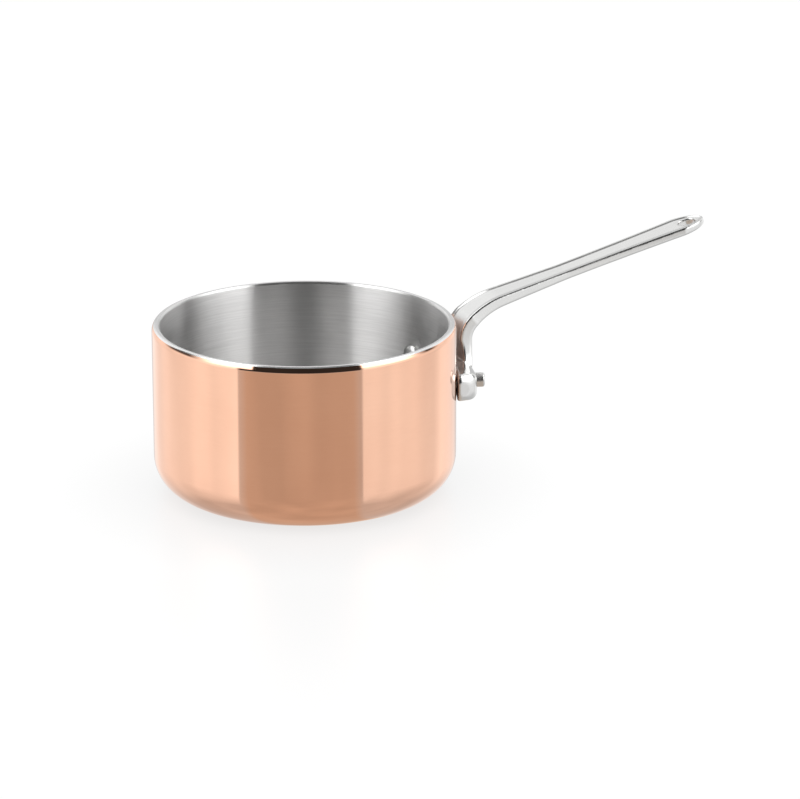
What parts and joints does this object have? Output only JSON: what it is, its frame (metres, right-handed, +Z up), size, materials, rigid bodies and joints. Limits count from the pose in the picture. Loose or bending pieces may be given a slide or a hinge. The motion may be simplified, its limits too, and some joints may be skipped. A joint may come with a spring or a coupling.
{
  "type": "saucepan",
  "caption": "Small open saucepan: straight-sided copper body with a rounded rim, brushed steel lining and a long riveted steel handle.",
  "frame": {"origin": "centre of the flat base, on the surface that the pan stands on", "axes": "+Z up along the pan's axis, +X from the pan's axis along the handle to its tip, +Y completes the right-handed frame"},
  "size_m": [0.235, 0.12, 0.0929],
  "materials": {
    "copper": "mirror-polished copper",
    "aluminium": "polished edge",
    "lining_steel": "brushed round the wall and floor",
    "handle_steel": "polished casting"
  },
  "bodies": {
    "root": {"copper_shell": "copper", "aluminium_core": "aluminium", "steel_lining": "lining_steel", "handle": "handle_steel", "rivet_left": "handle_steel", "rivet_right": "handle_steel"}
  },
  "joints": []
}
